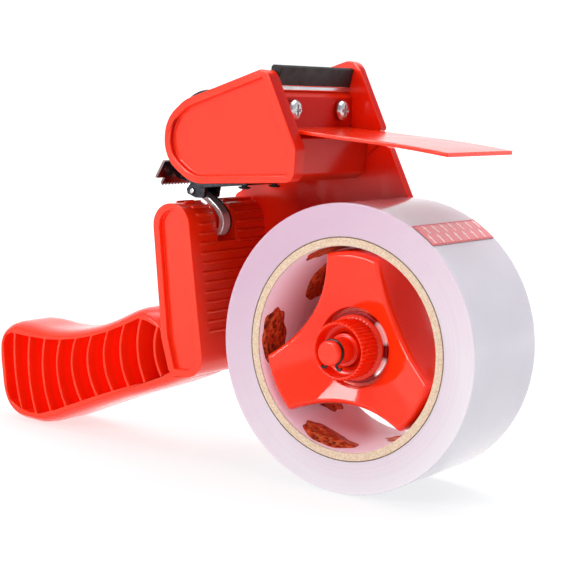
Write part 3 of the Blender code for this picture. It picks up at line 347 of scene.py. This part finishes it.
def soft_rubber():
    look = Look("black_rubber")
    dust = look.noise(420.0, 4.0, 0.65)
    dark, pale = (0.006, 0.006, 0.007, 1.0), (0.02, 0.019, 0.02, 1.0)
    look.set(base_color=look.mix(look.range(dust, 0.4, 0.75), dark, pale))
    look.set(roughness=look.range(look.noise(160.0), 0.3, 0.7, 0.42, 0.62))
    look.set(normal=look.bump(look.noise(2600.0, 3.0), 0.25, 0.00012))
    look.set(specular_ior_level=0.3)
    return look.material


def hard_black():
    look = Look("black_plastic")
    look.set(base_color=look.mix(look.noise(90.0), (0.012, 0.012, 0.013, 1.0), (0.022, 0.021, 0.023, 1.0)))
    look.set(roughness=look.range(look.noise(300.0), 0.3, 0.7, 0.28, 0.42))
    look.set(normal=look.bump(look.noise(1500.0), 0.1, 0.0001))
    return look.material


def metal(name, light, dark, rough, along="X", scratch=0.15, mark=None, metallic=1.0):
    """Brushed metal; mark(look) gives where the surface is dark, 0 to 1."""
    look = Look(name)
    scale = {"X": (40.0, 900.0, 900.0), "Y": (900.0, 40.0, 900.0), "Z": (900.0, 900.0, 40.0)}[along]
    brushed = look.noise(1.0, 4.0, 0.6, look.stretched(scale))
    cloud = look.noise(130.0, 3.0)
    tone = look.math("ADD", look.math("MULTIPLY", brushed, 0.5), look.math("MULTIPLY", cloud, 0.5))
    colour = look.mix(look.range(tone, 0.3, 0.7), dark, light)
    if mark:
        colour = look.mix(mark(look), colour, (0.012, 0.011, 0.013, 1.0))
    look.set(base_color=colour, metallic=metallic)
    look.set(roughness=look.range(tone, 0.3, 0.7, rough[0], rough[1]))
    look.set(normal=look.bump(brushed, scratch, 0.00008))
    return look.material


def lever_painted_dark_reflection(look):
    """A painted dark reflection on the lever's faces that don't face along the axle, toward its far edge; the
    rest stays bright.
    """
    beyond = look.range(look.axis("Y"), *LEVER_DARK_REFLECTION_Y)
    broad = look.range(look.math("ABSOLUTE", look.facing("Y")), 0.7, 0.5)
    return look.product(beyond, broad, 0.96)


def polished_washer():
    """Mirror metal with a painted red reflection of the hub all round, but for two painted highlight arcs
    that also glow a little.
    """
    look = Look("chrome")
    turn = look.angle()
    outside = []
    for middle, full, faded in WASHER_HIGHLIGHT_ARCS:
        off = look.math("ABSOLUTE", look.math("SUBTRACT", turn, middle))
        outside.append(look.range(off, full, faded))
    painted_hub_reflection = look.product(*outside)
    cloud = look.noise(400.0, 3.0)
    highlight_tone = look.mix(cloud, (0.95, 0.93, 0.93, 1.0), (0.8, 0.78, 0.8, 1.0))
    look.set(base_color=look.mix(painted_hub_reflection, highlight_tone, (0.3, 0.012, 0.014, 1.0)))
    look.set(metallic=look.range(painted_hub_reflection, 0.0, 1.0, 1.0, 0.3), specular_ior_level=0.2)
    look.set(roughness=look.range(cloud, 0.3, 0.7, 0.06, 0.13))
    look.set(emission_color=(1.0, 0.95, 0.95, 1.0), emission_strength=look.range(painted_hub_reflection, 0.0, 1.0, 0.25, 0.0))
    return look.material


def cardboard():
    look = Look("cardboard")
    fibre = look.noise(1.0, 5.0, 0.7, look.stretched((1400.0, 300.0, 1400.0)), 0.8)
    speck = look.cells(1500.0)
    cream = look.mix(look.range(fibre, 0.35, 0.68), rgb(228, 206, 184), rgb(188, 158, 128))
    look.set(base_color=look.mix(look.range(speck, 0.0, 0.22, 0.35, 0.0), cream, rgb(150, 118, 84)))
    look.set(roughness=look.range(fibre, 0.3, 0.7, 0.75, 0.95))
    look.set(normal=look.bump(fibre, 0.6, 0.0003), specular_ior_level=0.2)
    return look.material


def tape_film():
    """The wound side shows fine layer lines; the rim is one smooth glossy sheet."""
    look = Look("clear_tape")
    side = look.range(look.math("ABSOLUTE", look.facing("Y")), 0.5, 0.8)
    layers = look.rings(5200.0, 4.0, 0.75)
    broad = look.rings(620.0, 2.0, 0.5)
    # Painted red light: the wound side turns pink near the core and toward the top left, where the red hub
    # and head light the film.
    inner = look.range(look.radius(), CORE_RADIUS, ROLL_RADIUS, 0.4, 0.0)
    x, z = look.across_axle()
    lean = look.math("SUBTRACT", z, look.math("MULTIPLY", x, 0.7))
    painted_red_bounce = look.range(lean, -ROLL_RADIUS, ROLL_RADIUS, 0.0, 0.9)
    wound = look.mix(look.range(broad, 0.35, 0.65), rgb(216, 208, 214), rgb(219, 213, 218))
    wound = look.mix(look.math("MAXIMUM", inner, painted_red_bounce), wound, rgb(191, 153, 176))
    wound = look.mix(look.range(layers, 0.5, 0.8, 0.0, 0.09), wound, rgb(176, 158, 182))
    cloud = look.noise(28.0, 3.0, 0.5)
    rim = look.mix(look.range(cloud, 0.3, 0.7), rgb(208, 204, 213), rgb(200, 195, 206))
    look.set(base_color=look.mix(side, rim, wound))
    look.set(roughness=look.mix_value(side, 0.16, 0.34))
    look.set(normal=look.bump(layers, 0.12, 0.00006))
    look.set(subsurface_weight=0.35, subsurface_radius=(0.004, 0.0032, 0.004), subsurface_scale=1.0)
    look.set(coat_weight=0.6, coat_roughness=0.05, ior=1.48)
    return look.material


def tab_film():
    look = Look("tab_film")
    cloud = look.noise(160.0, 3.0)
    look.set(base_color=look.mix(cloud, rgb(240, 122, 122), rgb(228, 104, 108)))
    look.set(roughness=look.range(look.noise(500.0), 0.3, 0.7, 0.16, 0.28))
    look.set(normal=look.bump(look.noise(300.0), 0.1, 0.0002), coat_weight=0.5, coat_roughness=0.08)
    look.set(subsurface_weight=0.2, subsurface_radius=(0.002, 0.0008, 0.0008), subsurface_scale=1.0)
    return look.material


def ink(name, light, dark, rough=(0.2, 0.36)):
    look = Look(name)
    look.set(base_color=look.mix(look.noise(700.0), light, dark))
    look.set(roughness=look.range(look.noise(900.0), 0.3, 0.7, *rough))
    look.set(normal=look.bump(look.noise(1200.0), 0.08, 0.00003))
    return look.material


def liner_paper():
    """White coated paper, with a painted glow that makes it a little lighter near the open side where the
    light comes in.
    """
    look = Look("liner_paper")
    cloud = look.noise(60.0, 4.0)
    look.set(base_color=look.mix(cloud, rgb(252, 244, 254), rgb(244, 232, 248)))
    lit = look.range(look.axis("Y"), ROLL_FRONT, ROLL_FRONT + LINER_LIT_DEPTH, 0.16, 0.02)
    look.set(emission_color=(0.85, 0.8, 1.0, 1.0), emission_strength=lit)
    look.set(roughness=look.range(look.noise(400.0), 0.3, 0.7, 0.3, 0.45))
    look.set(normal=look.bump(look.noise(900.0, 4.0), 0.12, 0.00012), coat_weight=0.3, coat_roughness=0.2)
    return look.material


def brown_ink():
    """Mottled orange-brown print."""
    look = Look("brown_ink")
    blotch = look.noise(330.0, 5.0, 0.65, distortion=1.4)
    tone = look.mix(look.range(blotch, 0.38, 0.56), rgb(78, 26, 14), rgb(206, 84, 44))
    tone = look.mix(look.range(look.cells(520.0), 0.5, 0.8, 0.0, 0.6), tone, rgb(232, 136, 84))
    look.set(base_color=tone)
    look.set(roughness=look.range(blotch, 0.3, 0.7, 0.32, 0.5))
    look.set(normal=look.bump(blotch, 0.15, 0.00008))
    return look.material


def pale_floor():
    """White sheet that fades into the white backdrop away from the tool."""
    look = Look("pale_floor")
    look.set(base_color=look.mix(look.noise(3.0), (0.29, 0.30, 0.30, 1.0), (0.31, 0.31, 0.31, 1.0)))
    look.set(roughness=look.range(look.noise(40.0), 0.3, 0.7, 0.6, 0.7), specular_ior_level=0.1)
    x, y = look.axis("X"), look.axis("Y")
    away = look.math("SQRT", look.math("ADD", look.math("MULTIPLY", x, x), look.math("MULTIPLY", y, y)))
    glow = look.range(away, *FLOOR_FADE, 0.68, 1.0)
    look.set(emission_color=(1.0, 1.0, 1.0, 1.0), emission_strength=glow)
    return look.material


# One look for each material slot, and a few nodes with a look of their own.
LOOKS = {
    "red_plastic": red_plastic(),
    "black_rubber": soft_rubber(),
    "black_plastic": hard_black(),
    "steel": metal("steel", (0.72, 0.72, 0.74, 1.0), (0.42, 0.42, 0.44, 1.0), (0.14, 0.3)),
    "dark_steel": metal("dark_steel", (0.07, 0.07, 0.08, 1.0), (0.02, 0.02, 0.024, 1.0), (0.18, 0.34), "Y"),
    "chrome": polished_washer(),
    "cardboard": cardboard(),
    "clear_tape": tape_film(),
    "tab_film": tab_film(),
}
BLACKED = metal("blacked_steel", (0.06, 0.06, 0.065, 1.0), (0.02, 0.02, 0.022, 1.0), (0.25, 0.4))
NODE_LOOKS = {
    "frame": red_plastic("red_frame", shade=plate_painted_shade, glow=pocket_painted_glow, reflection_streaks=True),
    "head_shell": red_plastic("red_head", shade=wall_painted_shade),
    "wiper_flap": red_plastic("red_flap", shade=wall_painted_shade),
    "catch_lever": metal(
        "lever_steel", (0.8, 0.8, 0.82, 1.0), (0.5, 0.5, 0.52, 1.0), (0.1, 0.22), "Z", 0.1, lever_painted_dark_reflection, 0.65
    ),
    # The blade's dark reddish colour is a painted reflection of dark surroundings and the red plastic.
    "blade": metal("blade_steel", (0.3, 0.2, 0.21, 1.0), (0.1, 0.05, 0.055, 1.0), (0.12, 0.25), "Y"),
    "retaining_clip": metal(
        "wire_steel", (0.09, 0.07, 0.075, 1.0), (0.02, 0.016, 0.018, 1.0), (0.12, 0.2), "Z"
    ),
    "hub_wheel": red_plastic("red_hub", rough=0.07),
    "bracket_screw_near": BLACKED,
    "bracket_screw_far": BLACKED,
}
NODE_SLOT = {row["node"]: row["material_slot"] for row in frame["record"]["subparts"]}
BODY_OF = {n: b for b, nodes in frame["record"]["behaviour"]["bodies"].items() for n in nodes}


# ---------------------------------------------------------------- building pieces
def new_piece(name, work, look, body=None):
    """Turns a bmesh into a linked piece with one look, riding its body."""
    mesh = bpy.data.meshes.new(name)
    work.to_mesh(mesh)
    work.free()
    mesh.materials.append(look)
    item = bpy.data.objects.new(name, mesh)
    bpy.context.scene.collection.objects.link(item)
    if body:
        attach(item, body)
    return item


def keep_flat(item, weight=FLAT_WEIGHT):
    """Shades broad faces flat and the narrow ones between them round."""
    level = item.modifiers.new("normals", "WEIGHTED_NORMAL")
    level.keep_sharp = False
    level.weight = weight


def smooth(work):
    for face in work.faces:
        face.smooth = True


def refined(node, edge_mm):
    """The CAD node with softened edges and smooth shading, shown in its place."""
    work = bmesh.new()
    work.from_mesh(frame["nodes"][node].data)
    bmesh.ops.remove_doubles(work, verts=work.verts, dist=WELD)
    bmesh.ops.dissolve_degenerate(work, dist=WELD, edges=work.edges)
    smooth(work)
    slot = NODE_SLOT[node]
    item = new_piece(node + "_fine", work, NODE_LOOKS.get(node, LOOKS[slot]), BODY_OF[node])
    if edge_mm:
        soften = item.modifiers.new("edges", "BEVEL")
        soften.width = edge_mm * MM
        soften.segments = BEVEL_SEGMENTS
        soften.limit_method = "ANGLE"
        soften.angle_limit = math.radians(BEVEL_ANGLE_DEG)
        soften.use_clamp_overlap = False
        soften.miter_outer = "MITER_SHARP"
    keep_flat(item, NODE_FLAT_WEIGHT)
    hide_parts(node)


def on_roll(radius, degrees, y):
    """Place at a radius and angle round the roll's axle; 0 is along X, and 90 is up."""
    angle = math.radians(degrees)
    return Vector((AXLE_X + radius * math.cos(angle), y, AXLE_Z + radius * math.sin(angle)))


def close_rings(work, rings):
    """Joins rings of equal length into one closed ring-shaped surface."""
    steps = len(rings[0])
    for a, b in zip(rings, rings[1:] + rings[:1]):
        for k in range(steps):
            j = (k + 1) % steps
            work.faces.new((a[k], a[j], b[j], b[k]))
    bmesh.ops.recalc_face_normals(work, faces=work.faces)
    smooth(work)


def turned_ring(name, profile, steps, look):
    """Closed ring round the roll's axle, from (radius, y) corners."""
    work = bmesh.new()
    rings = []
    for radius, y in profile:
        rings.append([work.verts.new(on_roll(radius, 360.0 * k / steps, y)) for k in range(steps)])
    close_rings(work, rings)
    keep_flat(new_piece(name, work, look, "roll"))


def curved_prints(name, shapes, radii, look):
    """Thin closed flakes on the roll; each shape is a list of (degrees, y) corners."""
    work = bmesh.new()
    for shape in shapes:
        rings = [[work.verts.new(on_roll(r, a, y)) for a, y in shape] for r in radii]
        count = len(shape)
        work.faces.new(rings[0][::-1])
        work.faces.new(rings[1])
        for i in range(count):
            j = (i + 1) % count
            work.faces.new((rings[0][i], rings[0][j], rings[1][j], rings[1][i]))
    bmesh.ops.recalc_face_normals(work, faces=work.faces)
    new_piece(name, work, look, "roll")


# ---------------------------------------------------------------- knob and grip ribs
def knurled_knob():
    """The knob with rounded knurls and a dished front, in place of its plain CAD body."""
    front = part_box("tension_knob")[0].y
    steps = KNURLS * KNURL_STEPS
    work = bmesh.new()
    rings = []
    for radius, y, share in KNOB_MM:
        ring = []
        for k in range(steps):
            dip = 0.5 - 0.5 * math.cos(2 * math.pi * k / KNURL_STEPS)
            reach = (radius - KNURL_DEPTH_MM * share * dip) * MM
            ring.append(work.verts.new(on_roll(reach, 360.0 * k / steps, front + y * MM)))
        rings.append(ring)
    close_rings(work, rings)
    item = new_piece("knurled_knob", work, red_plastic("red_knob", rough=0.2), "knob")
    keep_flat(item)
    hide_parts("tension_knob")


def add_rib(work, at, out, low, high):
    """Adds one round-ended rib along Y at (x, z), proud along the unit direction out."""
    across = (-out[1], out[0])
    stations = []
    for side, end in ((1.0, low), (-1.0, high)):
        caps = []
        for k in range(GRIP_RIB_CAP):
            lean = math.pi / 2 * k / GRIP_RIB_CAP
            caps.append((end + side * GRIP_RIB_HALF * (1.0 - math.cos(lean)), math.sin(lean)))
        caps.append((end + side * GRIP_RIB_HALF, 1.0))
        stations += caps if side > 0 else caps[::-1]
    rings, tips = [], []
    for y, share in stations:
        if share < TIP_SHARE:
            tips.append(work.verts.new((at[0], y, at[1])))
            continue
        ring = []
        for k in range(GRIP_RIB_SIDES):
            turn = 2 * math.pi * k / GRIP_RIB_SIDES
            up = GRIP_RIB_HALF * share * math.cos(turn)
            lift = GRIP_RIB_PROUD * share * math.sin(turn)
            x, z = (at[i] + across[i] * up + out[i] * lift for i in range(2))
            ring.append(work.verts.new((x, y, z)))
        rings.append(ring)
    for a, b in zip(rings, rings[1:]):
        for k in range(GRIP_RIB_SIDES):
            j = (k + 1) % GRIP_RIB_SIDES
            work.faces.new((a[k], a[j], b[j], b[k]))
    for tip, ring in ((tips[0], rings[0]), (tips[1], rings[-1])):
        for k in range(GRIP_RIB_SIDES):
            work.faces.new((tip, ring[k], ring[(k + 1) % GRIP_RIB_SIDES]))


def grip_ribs():
    """Straight ribs down the column's grip side, halved by the lever's slot, and four over its top."""
    work = bmesh.new()
    low, high = GRIP_RIB_Y
    lean = Vector((GRIP_LOW[0] - GRIP_TOP[0], GRIP_LOW[1] - GRIP_TOP[1])).normalized()
    out = (-lean.y, lean.x)
    halves = ((low, GRIP_SLOT_Y[0]), (GRIP_SLOT_Y[1], high))
    for k in range(GRIP_RIBS):
        z = GRIP_RIB_TOP_Z - GRIP_RIB_STEP * k
        x = GRIP_TOP[0] + (z - GRIP_TOP[1]) * (GRIP_LOW[0] - GRIP_TOP[0]) / (GRIP_LOW[1] - GRIP_TOP[1])
        for start, end in halves if z > GRIP_SLOT_BOTTOM else ((low, high),):
            add_rib(work, (x, z), out, start, end)
    for degrees in GRIP_ARC_DEG:
        ray = (math.cos(math.radians(degrees)), math.sin(math.radians(degrees)))
        at = (GRIP_ARC_CENTRE[0] + GRIP_ARC_RADIUS * ray[0], GRIP_ARC_CENTRE[1] + GRIP_ARC_RADIUS * ray[1])
        for start, end in halves:
            add_rib(work, at, ray, start, end)
    bmesh.ops.recalc_face_normals(work, faces=work.faces)
    smooth(work)
    new_piece("grip_ribs", work, LOOKS["red_plastic"], "frame")


# ---------------------------------------------------------------- roll details
def tab_degrees(arc_mm):
    """Angle on the roll of a place on the tab, given as an arc from its lower edge."""
    return TAB_LOW_DEG + math.degrees(arc_mm * MM / TAB_RADIUS)


def arrow_shapes():
    """Small arrows pointing up round the roll, in two staggered rows."""
    tab_low, tab_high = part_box("starter_tab")
    shapes = []
    for row, start in enumerate(ARROW_ROWS_MM):
        for k in range(ARROWS):
            y = tab_low.y + (ARROW_FIRST_MM + ARROW_STAGGER_MM * row + ARROW_PITCH_MM * k) * MM
            if y < tab_high.y - ARROW_EDGE_MM * MM:
                shapes.append([(tab_degrees(start + up), y + across * MM) for across, up in ARROW_MM])
    return shapes


def tab_lines():
    """Thin darker lines along the tab's two long edges."""
    tab_low, tab_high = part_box("starter_tab")
    shapes = []
    near, far = tab_low.y + TAB_LINE_END_MM * MM, tab_high.y - TAB_LINE_END_MM * MM
    for arc in (TAB_LINE_INSET_MM, TAB_ARC_MM - TAB_LINE_MM - TAB_LINE_INSET_MM):
        a, b = tab_degrees(arc), tab_degrees(arc + TAB_LINE_MM)
        shapes.append([(a, near), (a, far), (b, far), (b, near)])
    return shapes


def blob(degrees, y, seed):
    """Ragged round outline on the liner."""
    shape = []
    for k in range(PRINT_POINTS):
        turn = 2 * math.pi * k / PRINT_POINTS
        ragged = 1.0 + 0.15 * noise.noise(Vector((math.cos(turn) * 1.7, math.sin(turn) * 1.7, seed * 3.7)))
        ragged += 0.05 * math.sin(8 * turn + seed)
        arc = PRINT_HALF_ARC_MM * MM * ragged * math.cos(turn)
        across = PRINT_HALF_WIDTH_MM * MM * ragged * math.sin(turn)
        shape.append((degrees + math.degrees(arc / BORE_RADIUS), y + across))
    return shape


def liner_prints():
    """Plain patches in two staggered rows round the bore."""
    shapes = []
    for row, (start, depth) in enumerate(PRINT_ROWS):
        for k in range(PRINTS):
            shapes.append(blob(start + PRINT_STEP_DEG * k, ROLL_FRONT + depth * MM, 2 * k + row + 1))
    return shapes


def roll_details():
    """Liner, glue line and prints, which all leave with the roll."""
    outer, inner = (BORE_RADIUS - skin * MM for skin in LINER_SKINS_MM)
    front, back = ROLL_FRONT + LINER_SETBACK_MM * MM, ROLL_BACK - LINER_SETBACK_MM * MM
    liner = [(outer, front), (outer, back), (inner, back), (inner, front)]
    turned_ring("core_liner", liner, LINER_STEPS, liner_paper())
    inner, outer = CORE_RADIUS - GLUE_UNDER_MM * MM, CORE_RADIUS + GLUE_OVER_MM * MM
    front, back = ROLL_FRONT + GLUE_SETBACK_MM * MM, ROLL_BACK - GLUE_SETBACK_MM * MM
    glue = [(inner, front), (outer, front), (outer, back), (inner, back)]
    tan = ink("glue", rgb(176, 148, 122), rgb(150, 120, 96))
    turned_ring("glue_line", glue, GLUE_STEPS, tan)
    on_liner = [BORE_RADIUS - skin * MM for skin in PRINT_SKINS_MM]
    curved_prints("liner_prints", liner_prints(), on_liner, brown_ink())
    on_tab = (TAB_RADIUS - TAB_PRINT_UNDER_MM * MM, TAB_RADIUS + TAB_PRINT_OVER_MM * MM)
    white = ink("white_ink", rgb(255, 240, 240), rgb(250, 226, 228))
    curved_prints("tab_arrows", arrow_shapes(), on_tab, white)
    red = ink("red_ink", rgb(214, 84, 88), rgb(200, 70, 76))
    curved_prints("tab_edge_lines", tab_lines(), on_tab, red)


# ---------------------------------------------------------------- studio and camera
def floor_sheet():
    far = FLOOR_HALF
    work = bmesh.new()
    corners = ((-far, -far), (far, -far), (far, far), (-far, far))
    work.faces.new([work.verts.new((x, y, 0.0)) for x, y in corners])
    item = new_piece("floor", work, pale_floor())
    item.location.z = -FLOOR_DROP


def area_light(name, location, target, size, power):
    data = bpy.data.lights.new(name, "AREA")
    data.shape = "RECTANGLE"
    data.size, data.size_y = size
    data.energy = power
    item = bpy.data.objects.new(name, data)
    bpy.context.scene.collection.objects.link(item)
    item.location = location
    item.rotation_mode = "QUATERNION"
    item.rotation_quaternion = (Vector(target) - Vector(location)).to_track_quat("-Z", "Y")


def studio():
    """White backdrop, dimmer toward the camera's side and the right, with two softboxes."""
    world = bpy.data.worlds.new("studio")
    bpy.context.scene.world = world
    world.use_nodes = True
    tree = world.node_tree
    new, link = tree.nodes.new, tree.links.new
    lit = tree.nodes["Background"]
    lit.inputs["Color"].default_value = (0.97, 0.975, 1.0, 1.0)
    direction = new("ShaderNodeSeparateXYZ")
    link(new("ShaderNodeTexCoord").outputs["Generated"], direction.inputs[0])
    height = new("ShaderNodeMath")
    height.operation = "ABSOLUTE"
    link(direction.outputs["Z"], height.inputs[0])
    horizon = new("ShaderNodeMapRange")
    link(height.outputs[0], horizon.inputs["Value"])
    horizon.inputs["From Max"].default_value = HORIZON_HEIGHT
    horizon.inputs["To Min"].default_value = WORLD_LEVEL + HORIZON_GLOW
    horizon.inputs["To Max"].default_value = WORLD_LEVEL
    total = horizon.outputs[0]
    for axis, slope in WORLD_SLOPES:
        term = new("ShaderNodeMath")
        term.operation = "MULTIPLY_ADD"
        link(direction.outputs[axis], term.inputs[0])
        term.inputs[1].default_value = slope
        link(total, term.inputs[2])
        total = term.outputs[0]
    link(total, lit.inputs["Strength"])
    seen = new("ShaderNodeBackground")
    seen.inputs["Color"].default_value = (1.0, 1.0, 1.0, 1.0)
    seen.inputs["Strength"].default_value = 1.05
    blend = new("ShaderNodeMixShader")
    link(new("ShaderNodeLightPath").outputs["Is Camera Ray"], blend.inputs[0])
    link(lit.outputs[0], blend.inputs[1])
    link(seen.outputs[0], blend.inputs[2])
    link(blend.outputs[0], tree.nodes["World Output"].inputs["Surface"])
    area_light("key", KEY_AT, (AXLE_X, 0.0, AXLE_Z), KEY_SIZE, KEY_WATTS)
    area_light("overhead", OVERHEAD_AT, (0.0, 0.0, 0.05), OVERHEAD_SIZE, OVERHEAD_WATTS)


def photo_camera():
    data = bpy.data.cameras.new("camera")
    data.sensor_width = 36.0
    data.lens = CAMERA_LENS
    data.clip_start = 0.01
    item = bpy.data.objects.new("camera", data)
    bpy.context.scene.collection.objects.link(item)
    turn = Matrix((CAMERA_RIGHT, CAMERA_UP, CAMERA_BACK)).transposed()
    item.matrix_world = Matrix.Translation(CAMERA_AT) @ turn.to_4x4()
    bpy.context.scene.camera = item


for node in sorted(frame["nodes"]):
    if node != "tension_knob":
        refined(node, EDGES_MM.get(node, SCREW_EDGE_MM))
knurled_knob()
grip_ribs()
roll_details()
floor_sheet()
studio()
photo_camera()
bpy.context.scene.view_settings.view_transform = "Standard"
bpy.context.scene.view_settings.look = "None"
